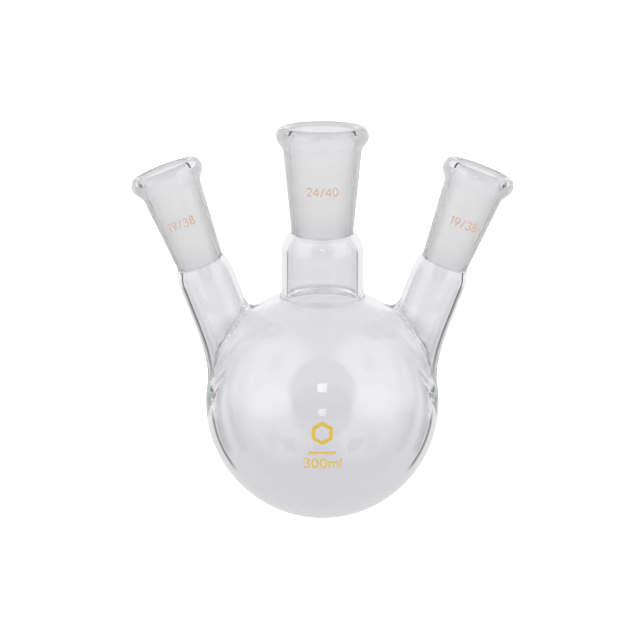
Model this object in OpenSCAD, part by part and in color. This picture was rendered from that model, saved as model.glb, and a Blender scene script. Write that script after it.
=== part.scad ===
// Three-neck round bottom flask, 300 ml, with ground taper sockets.
// Millimetres, +Z up, the lowest point of the ball at the origin, side necks towards -X and +X,
// enamel marks on the front, which faces -Y.

/* [Ball] */
// Outside diameter of the ball
bulb_od = 90; // [86:1:96]
// Glass thickness of the ball
bulb_wall = 3.0; // [2:0.1:4]

/* [Centre neck] */
// Outside diameter of the centre neck's straight tube
centre_tube_od = 31; // [29:0.5:33]
// Glass thickness of the centre neck's straight tube
centre_tube_wall = 2.2; // [1.5:0.1:3]
// Radius of the rounded weld between the ball and the centre neck
centre_weld_r = 2.6; // [1:0.1:4]
// Small-end bore of the centre socket's ground taper
centre_bore = 20; // [18:0.5:21]
// Length of the centre socket's ground taper
centre_taper_length = 40; // [34:1:44]
// Outside diameter of the centre socket at the small end of its taper
centre_small_od = 23.6; // [22.5:0.1:25]
// Outside diameter of the centre socket just below its rim
centre_large_od = 29.4; // [28:0.1:31]
// Outside diameter of the centre rim
centre_rim_od = 34.7; // [33:0.1:37]
// Height of the centre rim's top above the middle of the ball
centre_top = 106.6; // [100:0.2:112]

/* [Side necks] */
// Lean of each side neck from upright, in degrees
side_tilt = 20; // [18:0.5:24]
// Shortest distance from a side neck's axis to the middle of the ball
side_offset = 24.5; // [22:0.5:26]
// Outside diameter of a side neck's straight tube
side_tube_od = 21.4; // [20:0.2:23]
// Glass thickness of a side neck's straight tube
side_tube_wall = 1.7; // [1.2:0.1:2.4]
// Length of the side weld along the neck, on the side away from the centre neck
side_weld_outer = 18; // [12:1:19]
// Length of the side weld along the neck, on the side towards the centre neck
side_weld_inner = 6.5; // [4:0.5:8]
// Length of the side weld along the ball
side_weld_on_ball = 7; // [4:0.5:8]
// Small-end bore of a side socket's ground taper
side_bore = 15; // [13:0.5:16]
// Length of a side socket's ground taper
side_taper_length = 38; // [32:1:40]
// Outside diameter of a side socket at the small end of its taper
side_small_od = 18.0; // [17.2:0.1:19]
// Outside diameter of a side socket just below its rim
side_large_od = 22.6; // [21.5:0.1:24]
// Outside diameter of a side rim
side_rim_od = 27.8; // [26:0.1:30]
// Distance of a side rim's top along the neck, from the foot of the offset
side_top = 105.8; // [100:0.2:110]

/* [Enamel marks] */
// Thickness of the fired enamel
enamel_t = 0.1; // [0.05:0.01:0.2]
// Height of the figures of the capacity
capacity_height = 3.7; // [3:0.1:5]
// Height of the figures of the joint sizes
size_height = 3.0; // [2.5:0.1:4]
// Width of the plain six-sided emblem
emblem_width = 8.6; // [6:0.1:11]

/* [Hidden] */

$fn = 96;
glass = [0.86, 0.88, 0.90, 0.45];
weld_glass = [0.74, 0.82, 0.80, 0.55];
ground_glass = [0.84, 0.84, 0.85, 0.75];
gold_enamel = [0.88, 0.72, 0.20];
tan_enamel = [0.90, 0.68, 0.48];

bulb_r = bulb_od / 2;
bulb_inner_r = bulb_r - bulb_wall;
centre_r = centre_tube_od / 2;
side_r = side_tube_od / 2;
// A standard taper widens by one tenth of its length on the diameter
taper_ratio = 0.1;

// Heights of the socket features below the rim's top, shared by the three sockets
mouth_depth = 1.1;
rim_widest = 3.7;
flare_start = 9.2;
// Depth of the rounded shoulder below the small end of the taper, outside and inside
shoulder_outer = 7.5;
shoulder_inner = 6.0;
// How far the outside shoulder starts above the ground zone's lower end
shoulder_lift = 1.2;
curve_steps = 10;
// Steps of the welds: across the hollow outside, along the ball, and round a side neck
side_weld_steps = 7;
weld_foot_steps = 4;
side_weld_turns = 60;
// Straight length of tube above a side weld, before the side neck starts
seam_above_weld = 0.3;

centre_bore_r = centre_r - centre_tube_wall;
side_bore_r = side_r - side_tube_wall;
centre_ground = centre_top - mouth_depth - centre_taper_length;
centre_tube_top = centre_ground + shoulder_lift - shoulder_outer;
side_ground = side_top - mouth_depth - side_taper_length;
side_tube_top = side_ground + shoulder_lift - shoulder_outer;

// Where the welds end and the necks start: heights above the middle of the ball, along each neck
centre_seam = sqrt(pow(bulb_r + centre_weld_r, 2) - pow(centre_r + centre_weld_r, 2));
side_seam = max([for (phi = [0:15:180]) side_weld_top(phi)]) + seam_above_weld;

// Marks on the ball, as angles above its middle seen from its centre
emblem_angle = 3;
underline_angle = -6.5;
capacity_angle = -12;
stroke_share = 0.16;
letter_gap = 0.26;
// Distance of the middle of a size mark below the top of its rim
centre_size_mark_depth = 22.3;
side_size_mark_depth = 20.4;

// ---------- curves ----------

function bezier_point(p, t) =
    pow(1 - t, 3) * p[0] + 3 * pow(1 - t, 2) * t * p[1] + 3 * (1 - t) * t * t * p[2] + pow(t, 3) * p[3];

// Points of a cubic curve, without its last point so that stretches can follow each other
function bezier(p, steps = curve_steps) = [for (i = [0:steps - 1]) bezier_point(p, i / steps)];

function arc(cx, cy, rx, ry, from, to, steps) =
    [for (i = [0:steps]) let (a = from + (to - from) * i / steps) [cx + rx * cos(a), cy + ry * sin(a)]];

// ---------- sockets ----------

// Outline of a socket: up the outside from the tube, over the rim, down the ground bore
function socket_outline(tube_r, tube_inner_r, bore_r, taper_length, small_r, large_r, rim_r, top) =
    let (
        ground = top - mouth_depth - taper_length,
        tube_top = ground + shoulder_lift - shoulder_outer,
        step_r = tube_r - small_r,
        inner_step_r = tube_inner_r - bore_r,
        mouth_r = bore_r + taper_length * taper_ratio / 2,
        rim_mid_r = (rim_r + mouth_r) / 2,
        small_z = tube_top + shoulder_outer,
        widest_z = top - rim_widest,
        flare_z = top - flare_start
    )
    concat(
        bezier([[tube_r, tube_top], [tube_r, tube_top + 0.5 * shoulder_outer],
                [small_r + 0.55 * step_r, small_z - 0.12 * shoulder_outer], [small_r, small_z]]),
        bezier([[small_r, small_z], [small_r - 0.02, small_z + 0.6],
                [small_r, small_z + 1.2], [small_r + 0.1, small_z + 2]], 4),
        bezier([[large_r, flare_z], [large_r + 0.25, flare_z + 2],
                [rim_r, widest_z - 2.4], [rim_r, widest_z]]),
        bezier([[rim_r, widest_z], [rim_r, widest_z + 0.6 * rim_widest],
                [rim_mid_r + 1.2, top], [rim_mid_r, top]]),
        bezier([[rim_mid_r, top], [rim_mid_r - 1.1, top],
                [mouth_r + 0.1, top - 0.3], [mouth_r, top - mouth_depth]]),
        bezier([[bore_r, ground], [bore_r, ground - 0.2 * shoulder_inner],
                [tube_inner_r - 0.1 * inner_step_r, ground - 0.3 * shoulder_inner],
                [tube_inner_r, ground - shoulder_inner]]),
        [[tube_inner_r, ground - shoulder_inner], [tube_inner_r, tube_top]]
    );

module socket(tube_r, tube_inner_r, bore_r, taper_length, small_r, large_r, rim_r, top)
    rotate_extrude()
        polygon(socket_outline(tube_r, tube_inner_r, bore_r, taper_length, small_r, large_r, rim_r, top));

// ---------- frames ----------

module at_ball_centre()
    translate([0, 0, bulb_r])
        children();

// Places a neck made along +Z so that it leans towards +X (side = 1) or -X (side = -1)
module at_side_neck(side)
    at_ball_centre()
        rotate([0, side * side_tilt, 0])
            translate([side * side_offset, 0, 0])
                children();

// ---------- ball and tubes ----------

// A bore from inside the ball out past its wall
module neck_bore(r)
    cylinder(r = r, h = 2 * bulb_r);

module bulb()
    color(glass)
        difference() {
            at_ball_centre()
                sphere(r = bulb_r);
            at_ball_centre()
                sphere(r = bulb_inner_r);
            at_ball_centre()
                neck_bore(centre_bore_r);
            at_side_neck(-1)
                neck_bore(side_bore_r);
            at_side_neck(1)
                neck_bore(side_bore_r);
        }

module tube(r, inner_r, bottom, top)
    difference() {
        translate([0, 0, bottom])
            cylinder(r = r, h = top - bottom);
        neck_bore(inner_r);
    }

module centre_neck()
    color(glass)
        at_ball_centre()
            tube(centre_r, centre_bore_r, centre_seam, centre_tube_top);

module side_neck(side)
    color(glass)
        at_side_neck(side)
            tube(side_r, side_bore_r, side_seam, side_tube_top);

module left_neck() side_neck(-1);

module right_neck() side_neck(1);

// ---------- welds ----------

// Outline of the tube's root: a round hollow outside, tangent to the ball and to the centre tube,
// then along the ball to the bore and up the bore
function centre_weld_outline() =
    let (
        reach = centre_r + centre_weld_r,
        foot_angle = atan2(centre_seam, reach),
        bore_angle = acos(centre_bore_r / bulb_r)
    )
    concat(
        arc(reach, centre_seam, centre_weld_r, centre_weld_r, 180, 180 + foot_angle, curve_steps),
        [for (i = [1:weld_foot_steps])
            let (a = foot_angle + (bore_angle - foot_angle) * i / weld_foot_steps)
                bulb_r * [cos(a), sin(a)]],
        [[centre_bore_r, centre_seam]]
    );

module centre_seal()
    color(weld_glass)
        at_ball_centre()
            rotate_extrude()
                polygon(centre_weld_outline());

// In the half plane at angle phi round a side neck, phi = 0 away from the centre neck, the ball is a
// circle of this radius
function ball_section_r(phi) = sqrt(pow(bulb_r, 2) - pow(side_offset * sin(phi), 2));

// Angle from the neck's direction, seen from that circle's middle, at which the ball is r from the axis
function ball_angle(r, phi) = asin((r + side_offset * cos(phi)) / ball_section_r(phi));

// Height along the neck at which the hollow of the weld runs into the tube
function side_weld_top(phi) =
    let (outer_share = (1 + cos(phi)) / 2)
        ball_section_r(phi) * cos(ball_angle(side_r, phi))
        + side_weld_inner + (side_weld_outer - side_weld_inner) * outer_share;

// Section of a side neck's root in the half plane at angle phi: [radius, height along the neck] from the
// seam down the hollow outside, along the ball to the bore and up the bore
function side_weld_section(phi) =
    let (
        shift = side_offset * cos(phi),
        circle_r = ball_section_r(phi),
        foot_angle = ball_angle(side_r, phi) + side_weld_on_ball / circle_r * 180 / PI,
        bore_angle = ball_angle(side_bore_r, phi),
        foot = [circle_r * sin(foot_angle) - shift, circle_r * cos(foot_angle)],
        run = (foot[0] - side_r) / cos(foot_angle),
        bend = [side_r, foot[1] + run * sin(foot_angle)],
        top = [side_r, side_weld_top(phi)]
    )
    concat(
        [[side_r, side_seam]],
        [for (i = [0:side_weld_steps]) let (t = i / side_weld_steps)
            pow(1 - t, 2) * top + 2 * t * (1 - t) * bend + t * t * foot],
        [for (i = [1:weld_foot_steps])
            let (a = foot_angle + (bore_angle - foot_angle) * i / weld_foot_steps)
                [circle_r * sin(a) - shift, circle_r * cos(a)]],
        [[side_bore_r, side_seam]]
    );

// A closed ring of sections, swept round the neck's own axis
module side_seal(side) {
    sections = [for (k = [0:side_weld_turns - 1])
        let (phi = 360 * k / side_weld_turns)
            [for (p = side_weld_section(phi)) [side * p[0] * cos(phi), p[0] * sin(phi), p[1]]]];
    n = len(sections[0]);
    quads = [for (k = [0:side_weld_turns - 1], i = [0:n - 1])
        let (next_k = (k + 1) % side_weld_turns, next_i = (i + 1) % n)
            [k * n + i, k * n + next_i, next_k * n + next_i, next_k * n + i]];
    facets = [for (q = quads) each [[q[0], q[1], q[2]], [q[0], q[2], q[3]]]];
    turned = side > 0 ? facets : [for (f = facets) [f[2], f[1], f[0]]];
    color(weld_glass)
        at_side_neck(side)
            polyhedron(points = [for (s = sections) each s], faces = turned);
}

module left_seal() side_seal(-1);

module right_seal() side_seal(1);

// ---------- sockets in place ----------

module centre_socket()
    color(ground_glass)
        at_ball_centre()
            socket(centre_r, centre_r - centre_tube_wall, centre_bore / 2, centre_taper_length,
                   centre_small_od / 2, centre_large_od / 2, centre_rim_od / 2, centre_top);

module side_socket(side)
    color(ground_glass)
        at_side_neck(side)
            socket(side_r, side_r - side_tube_wall, side_bore / 2, side_taper_length,
                   side_small_od / 2, side_large_od / 2, side_rim_od / 2, side_top);

module left_socket() side_socket(-1);

module right_socket() side_socket(1);

// ---------- enamel marks ----------

// Each figure is [width, strokes]; a stroke is [closed, points] on a grid one unit high
function figure(name) =
    name == "0" ? [0.58, [[true, arc(0.29, 0.5, 0.29, 0.5, 0, 345, 23)]]] :
    name == "1" ? [0.30, [[false, [[0.02, 0.80], [0.22, 1.0]]], [false, [[0.22, 1.04], [0.22, 0]]]]] :
    name == "2" ? [0.56, [[false, concat(arc(0.27, 0.72, 0.26, 0.28, 165, -35, 12), [[0.05, 0.06]])],
                          [false, [[-0.03, 0.02], [0.58, 0.02]]]]] :
    name == "3" ? [0.56, [[false, arc(0.26, 0.75, 0.24, 0.25, 150, -90, 12)],
                          [false, arc(0.26, 0.25, 0.29, 0.27, 95, -155, 14)]]] :
    name == "4" ? [0.60, [[false, [[0.44, 1.0], [0.01, 0.30]]], [false, [[-0.03, 0.28], [0.63, 0.28]]],
                          [false, [[0.44, 1.04], [0.44, 0]]]]] :
    name == "8" ? [0.56, [[true, arc(0.28, 0.75, 0.22, 0.25, 0, 340, 17)],
                          [true, arc(0.28, 0.26, 0.27, 0.26, 0, 340, 17)]]] :
    name == "9" ? [0.56, [[true, arc(0.28, 0.68, 0.26, 0.32, 0, 340, 17)],
                          [false, arc(-0.06, 0.70, 0.60, 0.70, 0, -68, 8)]]] :
    name == "/" ? [0.44, [[false, [[0.02, -0.06], [0.42, 1.06]]]]] :
    name == "m" ? [0.84, [[false, [[0, 0], [0, 0.68]]],
                          [false, concat(arc(0.21, 0.44, 0.21, 0.22, 170, 0, 8), [[0.42, 0]])],
                          [false, concat(arc(0.63, 0.44, 0.21, 0.22, 170, 0, 8), [[0.84, 0]])]]] :
    [0.06, [[false, [[0.03, 0], [0.03, 1.04]]]]];

// Sideways direction of a stroke at point i
function stroke_side(p, i, closed) =
    let (
        n = len(p),
        before = closed ? p[(i + n - 1) % n] : p[max(i - 1, 0)],
        after = closed ? p[(i + 1) % n] : p[min(i + 1, n - 1)],
        along = after - before
    )
    [-along[1], along[0]] / norm(along);

// A flat stroke laid on a curved surface; place(u, v, h) gives the point h above the surface
module stroke(p, closed, half_width, place) {
    n = len(p);
    corners = [for (i = [0:n - 1])
        let (s = stroke_side(p, i, closed) * half_width, a = p[i] + s, b = p[i] - s)
            each [place(a[0], a[1], 0), place(b[0], b[1], 0),
                  place(b[0], b[1], enamel_t), place(a[0], a[1], enamel_t)]];
    spans = [for (i = [0:(closed ? n - 1 : n - 2)]) [4 * i, 4 * ((i + 1) % n)]];
    walls = [for (s = spans, k = [0:3])
        let (k2 = (k + 1) % 4)
            each [[s[0] + k, s[0] + k2, s[1] + k2], [s[0] + k, s[1] + k2, s[1] + k]]];
    end = 4 * (n - 1);
    caps = closed ? [] : [[2, 1, 0], [3, 2, 0], [end, end + 1, end + 2], [end, end + 2, end + 3]];
    polyhedron(points = corners, faces = concat(walls, caps));
}

function sum_to(list, i) = i < 0 ? 0 : list[i] + sum_to(list, i - 1);

// A row of figures, centred on u = 0 with its foot at v = foot
module figures(names, height, foot, place) {
    shapes = [for (name = names) figure(name)];
    steps = [for (s = shapes) (s[0] + letter_gap) * height];
    total = sum_to(steps, len(steps) - 1) - letter_gap * height;
    for (k = [0:len(names) - 1])
        for (s = shapes[k][1])
            stroke([for (q = s[1]) q * height + [sum_to(steps, k - 1) - total / 2, foot]],
                   s[0], stroke_share * height / 2, place);
}

// On the ball: u runs round it, v runs up from the angle given
function on_ball(angle) = function (u, v, h)
    let (round = u / bulb_r * 180 / PI / cos(angle), up = angle + v / bulb_r * 180 / PI)
        (bulb_r + h) * [sin(round) * cos(up), -cos(round) * cos(up), sin(up)];

// On the outside taper of a socket: u runs round it, v runs along it
function on_socket(small_r, large_r, small_z, large_z, mark_z) = function (u, v, h)
    let (
        z = mark_z + v,
        r = small_r + (large_r - small_r) * (z - small_z) / (large_z - small_z),
        round = u / r * 180 / PI
    )
    [(r + h) * sin(round), -(r + h) * cos(round), z];

module capacity_mark()
    color(gold_enamel)
        at_ball_centre()
            figures(["3", "0", "0", "m", "l"], capacity_height, -capacity_height / 2,
                    on_ball(capacity_angle));

// A plain six-sided frame with a bar below it
module emblem_mark() {
    frame_w = emblem_width * 0.15;
    frame_r = (emblem_width - frame_w) / 2;
    corner_count = 6;
    side_points = 4;
    corners = [for (k = [0:corner_count - 1]) frame_r * [sin(60 * k), cos(60 * k)]];
    outline = [for (k = [0:corner_count - 1], i = [0:side_points - 1])
        corners[k] + (corners[(k + 1) % corner_count] - corners[k]) * i / side_points];
    bar = [for (i = [0:8]) [emblem_width * (i / 8 - 0.5) * 1.15, 0]];
    color(gold_enamel)
        at_ball_centre() {
            stroke(outline, true, frame_w / 2, on_ball(emblem_angle));
            stroke(bar, false, frame_w / 3, on_ball(underline_angle));
        }
}

module centre_size_mark()
    color(tan_enamel)
        at_ball_centre()
            figures(["2", "4", "/", "4", "0"], size_height, -size_height / 2,
                    on_socket(centre_small_od / 2 + 0.1, centre_large_od / 2,
                              centre_ground + shoulder_lift + 2, centre_top - flare_start,
                              centre_top - centre_size_mark_depth));

module side_size_mark(side)
    color(tan_enamel)
        at_side_neck(side)
            figures(["1", "9", "/", "3", "8"], size_height, -size_height / 2,
                    on_socket(side_small_od / 2 + 0.1, side_large_od / 2,
                              side_ground + shoulder_lift + 2, side_top - flare_start,
                              side_top - side_size_mark_depth));

module left_size_mark() side_size_mark(-1);

module right_size_mark() side_size_mark(1);

bulb();
centre_seal();
centre_neck();
centre_socket();
left_seal();
left_neck();
left_socket();
right_seal();
right_neck();
right_socket();
capacity_mark();
emblem_mark();
centre_size_mark();
left_size_mark();
right_size_mark();
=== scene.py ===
"""Three-neck round bottom flask: the glass pieces, the enamel marks and a plain bright studio.

The row frame is kept: +Z up, the lowest point of the ball at the origin, side necks towards -X and +X,
marks on the front, which faces -Y. Sizes are in millimetres until a mesh is made.
"""

import math
from collections import namedtuple

import bpy
import numpy as np
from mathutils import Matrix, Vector
from mathutils.geometry import delaunay_2d_cdt


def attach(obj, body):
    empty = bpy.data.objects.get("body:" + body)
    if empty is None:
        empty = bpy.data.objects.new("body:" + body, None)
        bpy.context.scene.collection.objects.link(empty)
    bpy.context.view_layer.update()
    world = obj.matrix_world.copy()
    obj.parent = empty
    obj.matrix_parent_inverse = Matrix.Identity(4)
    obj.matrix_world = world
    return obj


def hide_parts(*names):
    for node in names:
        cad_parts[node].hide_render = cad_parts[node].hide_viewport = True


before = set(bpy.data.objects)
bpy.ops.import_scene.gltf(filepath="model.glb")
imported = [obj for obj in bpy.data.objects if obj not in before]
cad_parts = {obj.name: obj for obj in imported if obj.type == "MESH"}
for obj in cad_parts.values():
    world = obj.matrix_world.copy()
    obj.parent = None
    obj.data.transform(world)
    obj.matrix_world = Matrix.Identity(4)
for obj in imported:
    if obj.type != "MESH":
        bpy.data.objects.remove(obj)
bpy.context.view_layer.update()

MM = 0.001

# ---------- sizes, as in the part's source ----------

BALL_R = 45.0
BALL_INNER_R = 42.0

# A neck: lean (degrees) and offset of its axis from the ball's middle, tube and bore, then its socket.
# weld_up, weld_on_ball: how far the outside hollow climbs the tube and runs out along the ball, each on
# the side away from the centre neck and on the side towards it. round_*: the same for the inside edge.
Neck = namedtuple(
    "Neck",
    "name sign tilt offset tube_r bore_r weld_up weld_on_ball round_up round_on_ball "
    "ground_r ground_length small_r large_r rim_r top",
)
CENTRE = Neck(
    name="centre", sign=1, tilt=0, offset=0, tube_r=15.5, bore_r=13.3,
    weld_up=(1.8, 1.8), weld_on_ball=(1.75, 1.75), round_up=(2.8, 2.8), round_on_ball=(2.0, 2.0),
    ground_r=10.0, ground_length=40.0, small_r=11.8, large_r=14.7, rim_r=17.35, top=106.6,
)
RIGHT = Neck(
    name="right", sign=1, tilt=20, offset=24.5, tube_r=10.7, bore_r=9.0,
    weld_up=(18.0, 6.5), weld_on_ball=(7.0, 7.0), round_up=(20.5, 10.0), round_on_ball=(5.5, 9.0),
    ground_r=7.5, ground_length=38.0, small_r=9.0, large_r=11.3, rim_r=13.9, top=105.8,
)
LEFT = RIGHT._replace(name="left", sign=-1)
NECKS = (CENTRE, LEFT, RIGHT)

# Sockets: taper on the diameter, and depths below the rim's top or heights of the shoulders
TAPER = 0.1
MOUTH_DEPTH = 1.1
RIM_WIDEST = 3.7
FLARE_START = 9.2
SHOULDER_OUTER = 7.5
SHOULDER_INNER = 6.0
SHOULDER_LIFT = 1.2

# How far the seams lie from the ends of the outside hollows, along the neck and along the ball
SEAM_ABOVE_WELD = 0.3
SEAM_PAST_WELD = math.radians(1.2)
CENTRE_SEAM_PAST_WELD = math.radians(2.4)

# A lump of thick glass inside the wall under each side weld, on the side away from the centre neck. The
# glass is green within LUMP_REACH of LUMP_MIDDLE, LUMP_WIDTH times as far along Y, where seen edge-on.
LUMP_PAST_WELD = math.radians(17)
LUMP_HEIGHT = 1.2
LUMP_MIDDLE = (44.0, 0.0, 48.0)
LUMP_REACH = (8.0, 12.0)
LUMP_WIDTH = 2.2
EDGE_ON = (0.42, 0.6)

# ---------- how finely the shapes are drawn ----------

TURNS = 96
CURVE_STEPS = 14
TAPER_STEPS = 14
HOLLOW_STEPS = 20
BALL_STEPS = 12
BALL_SPACING = math.radians(1.8)
# Free points of the ball's net: the share of a square that each takes up, and their least distance from
# a rim, both in spacings
NET_SHARE = 0.866
RIM_CLEARANCE = 0.6

# ---------- materials and their slots ----------

# A socket's third slot is its bore, and its fourth the outside round the bore, in a paler copy of the clear
# glass: painted light
GLASS, CONTACT, INSIDE, PAINTED_LIGHT_COLLAR = 0, 1, 2, 3

GLASS_IOR = 1.473
WAVE_HEIGHT = 0.02
WAVE_SCALE = 55
CLEAR_COLOUR = (0.888, 0.887, 0.908)
PAINTED_LIGHT_COLLAR_COLOUR = (0.965, 0.96, 0.97)
LUMP_COLOUR = (0.26, 0.37, 0.31)
# A paler copy of the clear glass for the outside round a socket's bore: painted light
GROUND_COLOUR = (1.0, 0.995, 1.0)
GOLD, WORN_GOLD = (0.52, 0.35, 0.015), (0.46, 0.32, 0.03)
TAN, WORN_TAN = (0.50, 0.34, 0.24), (0.46, 0.32, 0.25)


# ---------- places ----------


def placed(neck, x, y, s):
    """Row-frame point (mm) for x and s along and across a neck's frame, measured from the ball's middle."""
    c, t = math.cos(math.radians(neck.tilt)), math.sin(math.radians(neck.tilt))
    return (neck.sign * (x * c + s * t), y, BALL_R - x * t + s * c)


def turned(neck, x, y, s):
    """The same for a direction."""
    c, t = math.cos(math.radians(neck.tilt)), math.sin(math.radians(neck.tilt))
    return (neck.sign * (x * c + s * t), y, -x * t + s * c)


def around(neck, phi, r, s):
    """Point at radius r and height s in the half plane at angle phi round a neck's axis."""
    return placed(neck, neck.offset + r * math.cos(phi), r * math.sin(phi), s)


def angles():
    return [2 * math.pi * k / TURNS for k in range(TURNS)]


# ---------- meshes ----------


class Piece:
    """Gathers sheets of points into one closed mesh. Each sheet brings its own normals and material."""

    def __init__(self, name, materials):
        self.name = name
        self.materials = materials
        self.points, self.numbers = [], {}
        self.faces, self.normals, self.slots = [], [], []

    def vertex(self, p):
        key = tuple(np.float32(c * MM) for c in p)
        if key not in self.numbers:
            self.numbers[key] = len(self.points)
            self.points.append(key)
        return self.numbers[key]

    def face(self, corners, normals, slot):
        a, b, c = (np.array(p) for p in corners[:3])
        if np.dot(np.cross(b - a, c - a), normals[0]) < 0:
            corners, normals = corners[::-1], normals[::-1]
        self.faces.append([self.vertex(p) for p in corners])
        self.normals.extend(normals)
        self.slots.append(slot)

    def sheet(self, rows, normals, slot):
        """rows[i][k]: point k round row i. The rows close round, and neighbours are joined by quads."""
        for i in range(len(rows) - 1):
            for k in range(len(rows[i])):
                j = (k + 1) % len(rows[i])
                self.face(
                    [rows[i][k], rows[i][j], rows[i + 1][j], rows[i + 1][k]],
                    [normals[i][k], normals[i][j], normals[i + 1][j], normals[i + 1][k]],
                    slot,
                )

    def cap(self, outer, inner, facing, slot):
        """A flat or conical ring between two loops. Each quad is flat shaded."""
        for k in range(len(outer)):
            j = (k + 1) % len(outer)
            corners = [outer[k], outer[j], inner[j], inner[k]]
            a, b, c = (np.array(p) for p in corners[:3])
            n = np.cross(b - a, c - a)
            n = n / np.linalg.norm(n)
            n = n if np.dot(n, facing(k)) > 0 else -n
            self.face(corners, [n] * 4, slot)

    def build(self, nodes):
        mesh = bpy.data.meshes.new(self.name)
        mesh.from_pydata(self.points, [], self.faces)
        for material in self.materials:
            mesh.materials.append(material)
        mesh.polygons.foreach_set("material_index", self.slots)
        mesh.polygons.foreach_set("use_smooth", [True] * len(self.faces))
        mesh.normals_split_custom_set([tuple(n) for n in self.normals])
        mesh.update()
        o = bpy.data.objects.new(self.name, mesh)
        bpy.context.scene.collection.objects.link(o)
        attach(o, "root")
        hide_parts(*nodes)
        return o


def grid_normals(rows, first):
    """Unit normals of a sheet of rows that close round. first is the normal at rows[0][0]."""
    p = np.array(rows)
    along = np.gradient(p, axis=0)
    across = np.roll(p, -1, axis=1) - np.roll(p, 1, axis=1)
    n = np.cross(along, across)
    n /= np.linalg.norm(n, axis=2, keepdims=True)
    return n if np.dot(n[0][0], first) > 0 else -n


# ---------- curves ----------


def bezier(p, steps):
    """Points of a cubic curve without its last point, so that stretches can follow each other."""
    out = []
    for i in range(steps):
        t = i / steps
        w = ((1 - t) ** 3, 3 * (1 - t) ** 2 * t, 3 * (1 - t) * t * t, t**3)
        out.append((sum(a * q[0] for a, q in zip(w, p)), sum(a * q[1] for a, q in zip(w, p))))
    return out


def straight(a, b, steps):
    return [(a[0] + (b[0] - a[0]) * i / steps, a[1] + (b[1] - a[1]) * i / steps) for i in range(steps)]


def run_normals(run, first=None, last=None):
    """Normals of an open line of (r, s) points, on its right. Its ends may be given."""
    d = np.gradient(np.array(run), axis=0)
    n = np.stack([d[:, 1], -d[:, 0]], axis=1)
    n /= np.linalg.norm(n, axis=1, keepdims=True)
    if first is not None:
        n[0] = first
    if last is not None:
        n[-1] = last
    return n


def revolve(piece, neck, run, normals, slot):
    """Sweeps an (r, s) line round a neck's axis."""
    rows = [[around(neck, phi, r, s) for phi in angles()] for r, s in run]
    turned_normals = [
        [turned(neck, nr * math.cos(phi), nr * math.sin(phi), ns) for phi in angles()] for nr, ns in normals
    ]
    piece.sheet(rows, turned_normals, slot)


def seam_cap(piece, neck, s, up):
    """The flat ring where two lengths of tube are fused."""
    outer = [around(neck, phi, neck.tube_r, s) for phi in angles()]
    inner = [around(neck, phi, neck.bore_r, s) for phi in angles()]
    facing = turned(neck, 0, 0, 1 if up else -1)
    piece.cap(outer, inner, lambda k: facing, CONTACT)


# ---------- where a neck grows out of the ball ----------


def section_r(neck, phi, ball_r):
    """Radius of the circle that the ball makes in the half plane at phi."""
    return math.sqrt(ball_r**2 - (neck.offset * math.sin(phi)) ** 2)


def ball_angle(neck, phi, ball_r, r):
    """Angle, seen from that circle's middle, at which the ball is r from the neck's axis."""
    return math.asin((r + neck.offset * math.cos(phi)) / section_r(neck, phi, ball_r))


def swung(pair, phi):
    """A size that changes from its outer to its inner value from one side of a neck to the other."""
    return pair[1] + (pair[0] - pair[1]) * (1 + math.cos(phi)) / 2


def root_line(neck, phi, ball_r, r, up, on_ball):
    """(r, s) points of a hollow that is tangent to the tube r and to the ball, from the top down."""
    circle_r = section_r(neck, phi, ball_r)
    corner = ball_angle(neck, phi, ball_r, r)
    foot_angle = corner + swung(on_ball, phi) / circle_r
    shift = neck.offset * math.cos(phi)
    foot = (circle_r * math.sin(foot_angle) - shift, circle_r * math.cos(foot_angle))
    bend = (r, foot[1] + (foot[0] - r) * math.tan(foot_angle))
    top = (r, circle_r * math.cos(corner) + swung(up, phi))
    line = []
    for i in range(HOLLOW_STEPS + 1):
        t = i / HOLLOW_STEPS
        w = ((1 - t) ** 2, 2 * t * (1 - t), t * t)
        line.append(tuple(w[0] * top[c] + w[1] * bend[c] + w[2] * foot[c] for c in (0, 1)))
    return line, foot_angle


def weld_seam(neck):
    """Height along the neck of the seam between the weld and the tube."""
    lines = [
        root_line(neck, math.radians(a), *shape)[0]
        for a in range(0, 181, 15)
        for shape in (
            (BALL_R, neck.tube_r, neck.weld_up, neck.weld_on_ball),
            (BALL_INNER_R, neck.bore_r, neck.round_up, neck.round_on_ball),
        )
    ]
    return max(line[0][1] for line in lines) + SEAM_ABOVE_WELD


def on_section(neck, phi, ball_r, angle):
    """Point of the ball at an angle along its circle in the half plane at phi."""
    circle_r = section_r(neck, phi, ball_r)
    shift = neck.offset * math.cos(phi)
    return around(neck, phi, circle_r * math.sin(angle) - shift, circle_r * math.cos(angle))


def from_centre(p):
    """Unit direction of a point from the ball's middle."""
    v = np.array(p) - (0, 0, BALL_R)
    return v / np.linalg.norm(v)


def on_ball(direction, ball_r):
    return tuple(np.array((0, 0, BALL_R)) + direction * ball_r)


def lump_share(neck, phi):
    """1 on the side away from the centre neck, and nothing past a quarter turn from it."""
    return max(0, math.cos(phi)) if neck.offset else 0


def rim_directions(neck):
    """Directions of the closed line on the ball where a weld ends and the plain ball starts."""
    out = []
    for phi in angles():
        past = SEAM_PAST_WELD if neck.offset else CENTRE_SEAM_PAST_WELD
        past += LUMP_PAST_WELD * lump_share(neck, phi)
        foot_angle = root_line(neck, phi, BALL_R, neck.tube_r, neck.weld_up, neck.weld_on_ball)[1]
        out.append(from_centre(on_section(neck, phi, BALL_R, foot_angle + past)))
    return out


def between(a, b, t):
    """Direction a share t of the way from direction a to b."""
    v = np.array(a) * (1 - t) + np.array(b) * t
    return v / np.linalg.norm(v)


def smooth(low, high, t):
    t = min(1, max(0, (t - low) / (high - low)))
    return t * t * (3 - 2 * t)


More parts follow.
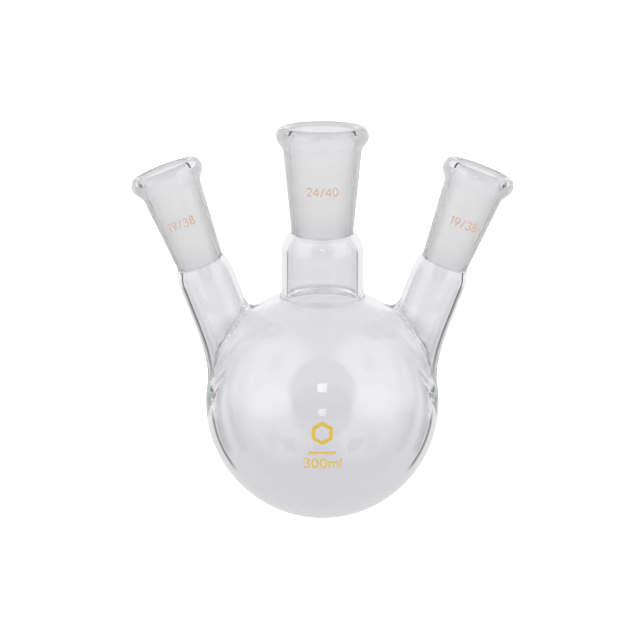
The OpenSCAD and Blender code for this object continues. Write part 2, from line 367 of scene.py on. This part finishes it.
def root_rows(neck, ball_r, r, up, on_ball_reach, lump_height=0):
    """Rows from the tube's seam down to the line where the plain ball starts, at radius ball_r."""
    seam = weld_seam(neck)
    columns = []
    for phi, rim in zip(angles(), rim_directions(neck)):
        line = [(r, seam)] + root_line(neck, phi, ball_r, r, up, on_ball_reach)[0]
        column = [around(neck, phi, *q) for q in line]
        foot = from_centre(column[-1])
        for i in range(1, BALL_STEPS):
            t = i / BALL_STEPS
            lump = lump_height * lump_share(neck, phi) ** 3 * smooth(0, 0.7, t) * (1 - smooth(0.8, 1, t))
            column.append(on_ball(between(foot, rim, t), ball_r - lump))
        columns.append(column + [on_ball(rim, ball_r)])
    return [list(row) for row in zip(*columns)]


def root_normals(neck, rows, outside):
    """Normals of a root's sheet, exact where it meets the tube and the plain ball."""
    sign = 1 if outside else -1
    across = [sign * np.array(turned(neck, math.cos(phi), math.sin(phi), 0)) for phi in angles()]
    n = grid_normals(rows, across[0])
    n[0] = n[1] = across
    n[-1] = [sign * from_centre(p) for p in rows[-1]]
    return n


def make_root(neck, materials):
    piece = Piece(neck.name + "_weld_glass", materials)
    outer = root_rows(neck, BALL_R, neck.tube_r, neck.weld_up, neck.weld_on_ball)
    inner = root_rows(neck, BALL_INNER_R, neck.bore_r, neck.round_up, neck.round_on_ball, LUMP_HEIGHT)
    piece.sheet(outer, root_normals(neck, outer, True), GLASS)
    piece.sheet(inner, root_normals(neck, inner, False), INSIDE)
    seam_cap(piece, neck, weld_seam(neck), up=True)
    middle = from_centre(np.mean(outer[-1], axis=0))
    facing = [from_centre(p) - middle * np.dot(from_centre(p), middle) for p in outer[-1]]
    piece.cap(outer[-1], inner[-1], lambda k: facing[k], CONTACT)
    return piece.build([neck.name + "_seal"])


# ---------- tubes and sockets ----------


def tube_top(neck):
    return neck.top - MOUTH_DEPTH - neck.ground_length + SHOULDER_LIFT - SHOULDER_OUTER


def make_tube(neck, materials):
    piece = Piece(neck.name + "_tube_glass", materials)
    low, high = weld_seam(neck), tube_top(neck)
    heights = np.linspace(low, high, 5)
    heights[0], heights[-1] = low, high
    revolve(piece, neck, [(neck.tube_r, s) for s in heights], [(1, 0)] * 5, GLASS)
    revolve(piece, neck, [(neck.bore_r, s) for s in heights], [(-1, 0)] * 5, GLASS)
    seam_cap(piece, neck, low, up=False)
    seam_cap(piece, neck, high, up=True)
    return piece.build([neck.name + "_neck"])


def socket_lines(neck):
    """The socket's (r, s) lines: outside and over the rim, down the ground bore, and the inner shoulder."""
    top, ground = neck.top, neck.top - MOUTH_DEPTH - neck.ground_length
    low = tube_top(neck)
    step, inner_step = neck.tube_r - neck.small_r, neck.bore_r - neck.ground_r
    mouth_r = neck.ground_r + neck.ground_length * TAPER / 2
    rim_mid = (neck.rim_r + mouth_r) / 2
    small_s, widest_s, flare_s = low + SHOULDER_OUTER, top - RIM_WIDEST, top - FLARE_START
    outside = bezier(
        [
            (neck.tube_r, low),
            (neck.tube_r, low + 0.5 * SHOULDER_OUTER),
            (neck.small_r + 0.55 * step, small_s - 0.12 * SHOULDER_OUTER),
            (neck.small_r, small_s),
        ],
        CURVE_STEPS,
    )
    outside += bezier(
        [
            (neck.small_r, small_s),
            (neck.small_r - 0.02, small_s + 0.6),
            (neck.small_r, small_s + 1.2),
            (neck.small_r + 0.1, small_s + 2),
        ],
        4,
    )
    outside += straight((neck.small_r + 0.1, small_s + 2), (neck.large_r, flare_s), TAPER_STEPS - 4)
    outside += bezier(
        [
            (neck.large_r, flare_s),
            (neck.large_r + 0.25, flare_s + 2),
            (neck.rim_r, widest_s - 2.4),
            (neck.rim_r, widest_s),
        ],
        CURVE_STEPS,
    )
    outside += bezier(
        [
            (neck.rim_r, widest_s),
            (neck.rim_r, widest_s + 0.6 * RIM_WIDEST),
            (rim_mid + 1.2, top),
            (rim_mid, top),
        ],
        CURVE_STEPS,
    )
    outside += bezier(
        [(rim_mid, top), (rim_mid - 1.1, top), (mouth_r + 0.1, top - 0.3), (mouth_r, top - MOUTH_DEPTH)],
        8,
    )
    mouth = (mouth_r, top - MOUTH_DEPTH)
    outside.append(mouth)
    bore = straight(mouth, (neck.ground_r, ground), 16) + [(neck.ground_r, ground)]
    shoulder = bezier(
        [
            (neck.ground_r, ground),
            (neck.ground_r, ground - 0.2 * SHOULDER_INNER),
            (neck.bore_r - 0.1 * inner_step, ground - 0.3 * SHOULDER_INNER),
            (neck.bore_r, ground - SHOULDER_INNER),
        ],
        CURVE_STEPS,
    )
    shoulder += [(neck.bore_r, ground - SHOULDER_INNER), (neck.bore_r, low)]
    return outside, bore, shoulder


def make_socket(neck, materials):
    """The bore is ground matt but for its first step below the mouth."""
    piece = Piece(neck.name + "_socket_glass", materials)
    outside, bore, shoulder = socket_lines(neck)
    bore_normals = run_normals(bore)
    outside_normals = run_normals(outside, (1, 0), bore_normals[0])
    low, high = CURVE_STEPS, CURVE_STEPS + TAPER_STEPS
    # The outside round the bore takes the paler glass: painted light
    for start, end, slot in ((0, low, GLASS), (low, high, PAINTED_LIGHT_COLLAR), (high, len(outside), GLASS)):
        revolve(piece, neck, outside[start : end + 1], outside_normals[start : end + 1], slot)
    revolve(piece, neck, bore[:2], bore_normals[:2], GLASS)
    revolve(piece, neck, bore[1:], bore_normals[1:], INSIDE)
    revolve(piece, neck, shoulder, run_normals(shoulder, bore_normals[-1], (-1, 0)), GLASS)
    seam_cap(piece, neck, tube_top(neck), up=False)
    return piece.build([neck.name + "_socket"])


# ---------- the ball ----------


def spread_directions(spacing):
    """Evenly spread directions over a whole sphere."""
    count = int(4 * math.pi / (NET_SHARE * spacing**2))
    golden = math.pi * (3 - math.sqrt(5))
    z = 1 - (2 * np.arange(count) + 1) / count
    r = np.sqrt(1 - z * z)
    a = golden * np.arange(count)
    return np.stack([r * np.cos(a), r * np.sin(a), z], axis=1)


def flattened(directions):
    """Directions seen from the top of the ball on to a flat sheet. The centre neck's rim goes outermost."""
    return directions[:, :2] / (1 - directions[:, 2:3])


def enclosed(points, loop):
    """Which of the flat points lie inside a closed flat line."""
    inside = np.zeros(len(points), bool)
    x, y = points.T
    for (ax, ay), (bx, by) in zip(loop, np.roll(loop, -1, axis=0)):
        if ay != by:
            crossing = ax + (y - ay) * (bx - ax) / (by - ay)
            inside ^= ((ay > y) != (by > y)) & (x < crossing)
    return inside


def in_openings(points, rims):
    """Which of the flat points lie in one of the three neck openings."""
    centre, *sides = (enclosed(points, flattened(rim)) for rim in rims)
    return ~centre | np.any(sides, axis=0)


def ball_triangles():
    """Directions and triangles of the ball without its three neck openings."""
    rims = [np.array(rim_directions(neck)) for neck in NECKS]
    free = spread_directions(BALL_SPACING)
    to_rim = np.arccos(np.clip((free @ np.concatenate(rims).T).max(axis=1), -1, 1))
    free = free[(to_rim > RIM_CLEARANCE * BALL_SPACING) & ~in_openings(flattened(free), rims)]
    directions = np.concatenate(rims + [free])
    flat = flattened(directions)
    edges = [(n * TURNS + k, n * TURNS + (k + 1) % TURNS) for n in range(len(rims)) for k in range(TURNS)]
    result = delaunay_2d_cdt([Vector(p) for p in flat], edges, [], 0, 1e-9)
    origin = [o[0] for o in result[3]]
    triangles = np.array([[origin[i] for i in t] for t in result[2]])
    return rims, directions, triangles[~in_openings(flat[triangles].mean(axis=1), rims)]


def make_ball(materials):
    piece = Piece("ball_glass", materials)
    rims, directions, triangles = ball_triangles()
    for ball_r, sign in ((BALL_R, 1), (BALL_INNER_R, -1)):
        points = [on_ball(d, ball_r) for d in directions]
        for t in triangles:
            piece.face([points[i] for i in t], [sign * directions[i] for i in t], GLASS)
    for rim in rims:
        middle = rim.mean(axis=0)
        middle /= np.linalg.norm(middle)
        facing = [middle - d * np.dot(d, middle) for d in rim]
        piece.cap(
            [on_ball(d, BALL_R) for d in rim],
            [on_ball(d, BALL_INNER_R) for d in rim],
            lambda k, facing=facing: facing[k],
            CONTACT,
        )
    return piece.build(["bulb"])


# ---------- materials ----------


def new_material(name):
    material = bpy.data.materials.new(name)
    material.use_nodes = True
    nodes = material.node_tree.nodes
    nodes.clear()
    output = nodes.new("ShaderNodeOutputMaterial")
    shader = nodes.new("ShaderNodeBsdfPrincipled")
    material.node_tree.links.new(shader.outputs["BSDF"], output.inputs["Surface"])
    return material, nodes, material.node_tree.links, shader


def object_noise(nodes, links, scale, detail):
    """Noise fixed to the object, in units of 1/scale metres."""
    coords = nodes.new("ShaderNodeTexCoord")
    noise = nodes.new("ShaderNodeTexNoise")
    noise.inputs["Scale"].default_value = scale
    noise.inputs["Detail"].default_value = detail
    links.new(coords.outputs["Object"], noise.inputs["Vector"])
    return noise


def bump_from(nodes, links, noise, shader, height_mm, strength=1.0):
    bump = nodes.new("ShaderNodeBump")
    bump.inputs["Strength"].default_value = strength
    bump.inputs["Distance"].default_value = height_mm * MM
    links.new(noise.outputs["Fac"], bump.inputs["Height"])
    links.new(bump.outputs["Normal"], shader.inputs["Normal"])


def glass_material(name, colour):
    """Clear glass, with the faint waviness of blown and drawn glass."""
    material, nodes, links, shader = new_material(name)
    shader.inputs["Base Color"].default_value = (*colour, 1)
    shader.inputs["Transmission Weight"].default_value = 1
    shader.inputs["IOR"].default_value = GLASS_IOR
    shader.inputs["Roughness"].default_value = 0.0
    bump_from(nodes, links, object_noise(nodes, links, WAVE_SCALE, 1), shader, WAVE_HEIGHT)
    return material


def weld_material():
    """The same glass, green where it is seen edge-on round LUMP_MIDDLE and its mirror image."""
    material = glass_material("weld_glass", CLEAR_COLOUR)
    nodes, links = material.node_tree.nodes, material.node_tree.links
    coords = nodes.new("ShaderNodeTexCoord")
    squeezed = nodes.new("ShaderNodeMapping")
    squeezed.inputs["Scale"].default_value = (1, 1 / LUMP_WIDTH, 1)
    links.new(coords.outputs["Object"], squeezed.inputs["Vector"])
    mirrored = nodes.new("ShaderNodeVectorMath")
    mirrored.operation = "ABSOLUTE"
    links.new(squeezed.outputs["Vector"], mirrored.inputs[0])
    gap = nodes.new("ShaderNodeVectorMath")
    gap.operation = "DISTANCE"
    links.new(mirrored.outputs[0], gap.inputs[0])
    gap.inputs[1].default_value = [c * MM for c in LUMP_MIDDLE]
    share = nodes.new("ShaderNodeMapRange")
    share.interpolation_type = "SMOOTHSTEP"
    share.inputs["From Min"].default_value = LUMP_REACH[1] * MM
    share.inputs["From Max"].default_value = LUMP_REACH[0] * MM
    links.new(gap.outputs["Value"], share.inputs["Value"])
    slant = nodes.new("ShaderNodeLayerWeight")
    edge_on = nodes.new("ShaderNodeMapRange")
    edge_on.interpolation_type = "SMOOTHSTEP"
    edge_on.inputs["From Min"].default_value, edge_on.inputs["From Max"].default_value = EDGE_ON
    links.new(slant.outputs["Facing"], edge_on.inputs["Value"])
    colour = nodes.new("ShaderNodeMix")
    colour.data_type = "RGBA"
    colour.inputs["A"].default_value = (*CLEAR_COLOUR, 1)
    colour.inputs["B"].default_value = (*LUMP_COLOUR, 1)
    both = math_node(nodes, links, "MULTIPLY", share.outputs["Result"], edge_on.outputs["Result"])
    links.new(both, colour.inputs["Factor"])
    links.new(colour.outputs["Result"], nodes["Principled BSDF"].inputs["Base Color"])
    return material


def contact_material():
    """The face where two pieces are fused: nothing is seen of it."""
    material, nodes, links, shader = new_material("fused_contact")
    shader.inputs["Alpha"].default_value = 0
    return material


def ground_material():
    """The inside of a socket, ground matt."""
    material, nodes, links, shader = new_material("ground_glass")
    shader.inputs["Base Color"].default_value = (*GROUND_COLOUR, 1)
    shader.inputs["Transmission Weight"].default_value = 0.8
    shader.inputs["IOR"].default_value = GLASS_IOR
    shader.inputs["Roughness"].default_value = 0.55
    bump_from(nodes, links, object_noise(nodes, links, 2500, 3), shader, 0.02, 0.4)
    return material


def enamel_material(name, colour, worn):
    """Fired enamel: slightly uneven in colour and gloss, as screen-printed ink is."""
    material, nodes, links, shader = new_material(name)
    noise = object_noise(nodes, links, 900, 4)
    ramp = nodes.new("ShaderNodeValToRGB")
    ramp.color_ramp.elements[0].position = 0.35
    ramp.color_ramp.elements[1].position = 0.65
    ramp.color_ramp.elements[0].color = (*worn, 1)
    ramp.color_ramp.elements[1].color = (*colour, 1)
    links.new(noise.outputs["Fac"], ramp.inputs["Fac"])
    links.new(ramp.outputs["Color"], shader.inputs["Base Color"])
    rough = nodes.new("ShaderNodeMapRange")
    rough.inputs["To Min"].default_value = 0.35
    rough.inputs["To Max"].default_value = 0.55
    links.new(noise.outputs["Fac"], rough.inputs["Value"])
    links.new(rough.outputs["Result"], shader.inputs["Roughness"])
    bump_from(nodes, links, noise, shader, 0.02, 0.5)
    return material


def paint_marks():
    gold = enamel_material("gold_enamel", GOLD, WORN_GOLD)
    tan = enamel_material("tan_enamel", TAN, WORN_TAN)
    for node, material in (
        ("capacity_mark", gold),
        ("emblem_mark", gold),
        ("centre_size_mark", tan),
        ("left_size_mark", tan),
        ("right_size_mark", tan),
    ):
        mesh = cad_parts[node].data
        mesh.materials.clear()
        mesh.materials.append(material)


def make_flask():
    clear = glass_material("clear_glass", CLEAR_COLOUR)
    # The clear glass made paler: painted light on the outside round each socket's bore
    painted_light_collar = glass_material("painted_light_collar_glass", PAINTED_LIGHT_COLLAR_COLOUR)
    weld = weld_material()
    contact = contact_material()
    ground = ground_material()
    make_ball([clear, contact])
    for neck in NECKS:
        make_root(neck, [weld if neck.offset else clear, contact, clear])
        make_tube(neck, [clear, contact])
        make_socket(neck, [clear, contact, ground, painted_light_collar])
    paint_marks()


# ---------- studio ----------

# Places are in metres. Directions are an azimuth and an elevation in degrees: azimuth 0 is towards the
# camera and 90 towards +X. Lights are radiances, where the white background is 1.
MIDDLE = (0, 0, 0.06)
FLOOR_Z = -0.0005
FLOOR_HALF = 3.0
CAMERA_PLACE, CAMERA_TARGET = (0, -0.5896, 0.2366), (-0.0009, 0, 0.0775)
CAMERA_LENS, CAMERA_SENSOR = 90, 36

# The room by height, from straight down to level, and by depth above that, from the front to the back
# Below level the room darkens towards straight down: a painted shadow of the flask on the floor, which the
# glass sees in the floor's place
PAINTED_SHADOW_BELOW = [(0, 0.76), (0.2, 0.74), (0.32, 0.82), (0.355, 0.96), (0.39, 0.93), (0.46, 0.95), (0.5, 1)]
ABOVE = [(0.3, 0.95), (0.7, 1)]
ABOVE_FROM, ABOVE_TO = 0.0, 0.25

# The dim room round the camera, and a soft light on either side: direction, radiance, and the angles
# from it at which it has faded out and is full
DIM_PLACE, DIM_LIGHT, DIM_EDGE = (0, 27), 0.42, (36, 30)
SOFTBOX_PLACE, SOFTBOX_LIGHT, SOFTBOX_EDGE = (64, 32), 1.9, (46, 26)
FLOOR_FADE = 0.04

# The slats of a panel above the camera
SLATS = 4
SLAT_ELEVATION, SLAT_PITCH = 30, 2.1
SLAT_DISTANCE, SLAT_SIZE = 1.2, (0.19, 0.022)
SLAT_LIGHT = 7

# Dark cards: degrees from the back, on either side, and degrees up that each one covers
CARD_LIGHT, CARD_FADE = 0.05, 0.03
CARDS = (
    ((33, 40), (-36, -18.5)),
    ((44.5, 60), (-33, -19)),
    ((48, 60), (-33, 4)),
    ((76, 90), (-36, -8)),
    ((120, 131), (-36, -18.5)),
)


def towards(azimuth, elevation):
    """The unit vector of a direction."""
    a, e = math.radians(azimuth), math.radians(elevation)
    return (math.sin(a) * math.cos(e), -math.cos(a) * math.cos(e), math.sin(e))


def panel(name, place, target, size, radiance):
    """A plain glowing panel of the given radiance."""
    light = bpy.data.lights.new(name, "AREA")
    light.shape = "RECTANGLE"
    light.size, light.size_y = size
    light.energy = radiance * math.pi * size[0] * size[1]
    o = bpy.data.objects.new(name, light)
    o.location = place
    o.rotation_mode = "QUATERNION"
    o.rotation_quaternion = (Vector(target) - Vector(place)).to_track_quat("-Z", "Y")
    bpy.context.scene.collection.objects.link(o)


def make_floor():
    """A white table that glows evenly, as the photograph's background does."""
    half = FLOOR_HALF
    mesh = bpy.data.meshes.new("floor")
    corners = [(-half, -half, FLOOR_Z), (half, -half, FLOOR_Z), (half, half, FLOOR_Z), (-half, half, FLOOR_Z)]
    mesh.from_pydata(corners, [], [(0, 1, 2, 3)])
    floor = bpy.data.objects.new("floor", mesh)
    bpy.context.scene.collection.objects.link(floor)
    material, nodes, links, shader = new_material("pale_floor")
    shader.inputs["Base Color"].default_value = (0.8, 0.8, 0.8, 1)
    shader.inputs["Roughness"].default_value = 1.0
    shader.inputs["Emission Color"].default_value = (1, 1, 1, 1)
    shader.inputs["Emission Strength"].default_value = 1.0
    mesh.materials.append(material)
    # The glass sees the room's light in place of the floor, with its painted shadow of the flask
    floor.visible_transmission = floor.visible_glossy = False


def ramp_node(nodes, stops):
    ramp = nodes.new("ShaderNodeValToRGB")
    elements = ramp.color_ramp.elements
    while len(elements) < len(stops):
        elements.new(0.5)
    for element, (place, value) in zip(elements, stops):
        element.position = place
        element.color = (value, value, value, 1)
    return ramp


def math_node(nodes, links, operation, a, b=None, c=None):
    node = nodes.new("ShaderNodeMath")
    node.operation = operation
    for socket, value in zip(node.inputs, (a, b, c)):
        if isinstance(value, (int, float)):
            socket.default_value = value
        elif value is not None:
            links.new(value, socket)
    return node.outputs[0]


def within(nodes, links, value, low, high, soft):
    """1 where value lies between low and high, fading over soft."""
    rise = nodes.new("ShaderNodeMapRange")
    rise.inputs["From Min"].default_value, rise.inputs["From Max"].default_value = low - soft, low + soft
    fall = nodes.new("ShaderNodeMapRange")
    fall.inputs["From Min"].default_value, fall.inputs["From Max"].default_value = high + soft, high - soft
    for node in (rise, fall):
        links.new(value, node.inputs["Value"])
    return math_node(nodes, links, "MULTIPLY", rise.outputs[0], fall.outputs[0])


def blob(nodes, links, direction, azimuth, elevation, edge):
    """1 round a direction, fading to 0 between the two angles (in degrees) of its edge."""
    dot = nodes.new("ShaderNodeVectorMath")
    dot.operation = "DOT_PRODUCT"
    links.new(direction, dot.inputs[0])
    dot.inputs[1].default_value = towards(azimuth, elevation)
    fade = nodes.new("ShaderNodeMapRange")
    fade.interpolation_type = "SMOOTHSTEP"
    fade.inputs["From Min"].default_value = math.cos(math.radians(edge[0]))
    fade.inputs["From Max"].default_value = math.cos(math.radians(edge[1]))
    links.new(dot.outputs["Value"], fade.inputs["Value"])
    return fade.outputs["Result"]


def lit(nodes, links, share, under, radiance):
    """Replaces the light under it by an even radiance, as far as share says."""
    mix = nodes.new("ShaderNodeMix")
    mix.data_type = "RGBA"
    links.new(share, mix.inputs["Factor"])
    links.new(under, mix.inputs["A"])
    mix.inputs["B"].default_value = (radiance, radiance, radiance, 1)
    return mix.outputs["Result"]


def room_light(nodes, links, y, z):
    """The room's own light: by height below the horizon, darker towards straight down as a painted shadow of
    the flask on the floor, and nearly even above it.
    """
    below, above = ramp_node(nodes, PAINTED_SHADOW_BELOW), ramp_node(nodes, ABOVE)
    for ramp, along in ((below, z), (above, y)):
        links.new(math_node(nodes, links, "MULTIPLY_ADD", along, 0.5, 0.5), ramp.inputs["Fac"])
    share = nodes.new("ShaderNodeMapRange")
    share.inputs["From Min"].default_value, share.inputs["From Max"].default_value = ABOVE_FROM, ABOVE_TO
    links.new(z, share.inputs["Value"])
    room = nodes.new("ShaderNodeMix")
    room.data_type = "RGBA"
    links.new(share.outputs[0], room.inputs["Factor"])
    links.new(below.outputs["Color"], room.inputs["A"])
    links.new(above.outputs["Color"], room.inputs["B"])
    return room.outputs["Result"]


def card_share(nodes, links, sideways, y, z):
    """1 where a card stands."""
    azimuth = math_node(nodes, links, "ARCTAN2", sideways, y)
    elevation = math_node(nodes, links, "ARCSINE", z)
    share = 0.0
    for across, up in CARDS:
        card = math_node(
            nodes,
            links,
            "MULTIPLY",
            within(nodes, links, azimuth, *(math.radians(a) for a in across), CARD_FADE),
            within(nodes, links, elevation, *(math.radians(e) for e in up), CARD_FADE),
        )
        share = math_node(nodes, links, "MAXIMUM", share, card)
    return share


def turned_in_wall(nodes, links, path):
    """1 for light that has both passed through glass and been reflected."""
    depths = (path.outputs[name] for name in ("Glossy Depth", "Transmission Depth"))
    return math_node(
        nodes, links, "MULTIPLY", *(math_node(nodes, links, "GREATER_THAN", depth, 0.5) for depth in depths)
    )


def make_world():
    """A white room, dim round the camera, with a soft light and dark cards on either side.

    The cards are seen only in light that has turned inside a glass wall, so they draw the thin dark
    lines along the walls and don't grey the glass itself. The camera itself sees plain white.
    """
    world = bpy.data.worlds.new("studio")
    bpy.context.scene.world = world
    world.use_nodes = True
    nodes, links = world.node_tree.nodes, world.node_tree.links
    background = nodes["Background"]
    coords = nodes.new("ShaderNodeTexCoord")
    axes = nodes.new("ShaderNodeSeparateXYZ")
    links.new(coords.outputs["Generated"], axes.inputs[0])
    x, y, z = axes.outputs
    sideways = math_node(nodes, links, "ABSOLUTE", x)
    mirrored = nodes.new("ShaderNodeCombineXYZ")
    for part, socket in zip((sideways, y, z), mirrored.inputs):
        links.new(part, socket)
    direction = mirrored.outputs[0]
    path = nodes.new("ShaderNodeLightPath")

    softbox = blob(nodes, links, direction, *SOFTBOX_PLACE, SOFTBOX_EDGE)
    light = lit(nodes, links, softbox, room_light(nodes, links, y, z), SOFTBOX_LIGHT)
    dim = blob(nodes, links, direction, *DIM_PLACE, DIM_EDGE)
    above_floor = within(nodes, links, z, 0.0, 2.0, FLOOR_FADE)
    light = lit(nodes, links, math_node(nodes, links, "MULTIPLY", dim, above_floor), light, DIM_LIGHT)
    card = card_share(nodes, links, sideways, y, z)
    walled = turned_in_wall(nodes, links, path)
    light = lit(nodes, links, math_node(nodes, links, "MULTIPLY", card, walled), light, CARD_LIGHT)
    light = lit(nodes, links, path.outputs["Is Camera Ray"], light, 1.0)
    links.new(light, background.inputs["Color"])
    background.inputs["Strength"].default_value = 1.0


def make_camera():
    data = bpy.data.cameras.new("camera")
    data.lens, data.sensor_width = CAMERA_LENS, CAMERA_SENSOR
    data.clip_start, data.clip_end = 0.01, 20
    camera = bpy.data.objects.new("camera", data)
    place, target = Vector(CAMERA_PLACE), Vector(CAMERA_TARGET)
    camera.location = place
    camera.rotation_mode = "QUATERNION"
    camera.rotation_quaternion = (target - place).to_track_quat("-Z", "Y")
    bpy.context.scene.collection.objects.link(camera)
    bpy.context.scene.camera = camera


def make_lights():
    """A small slatted panel above the camera."""
    for i in range(SLATS):
        elevation = SLAT_ELEVATION + (i - (SLATS - 1) / 2) * SLAT_PITCH
        place = Vector(MIDDLE) + Vector(towards(0, elevation)) * SLAT_DISTANCE
        panel("slat_%d" % i, place, MIDDLE, SLAT_SIZE, SLAT_LIGHT)


def make_studio():
    make_world()
    make_floor()
    make_lights()
    make_camera()
    scene = bpy.context.scene
    scene.view_settings.view_transform = "Standard"
    scene.view_settings.look = "None"
    scene.cycles.max_bounces = 96
    scene.cycles.transmission_bounces = 96
    scene.cycles.transparent_max_bounces = 64
    scene.cycles.glossy_bounces = 96
    scene.cycles.diffuse_bounces = 24


make_flask()
make_studio()
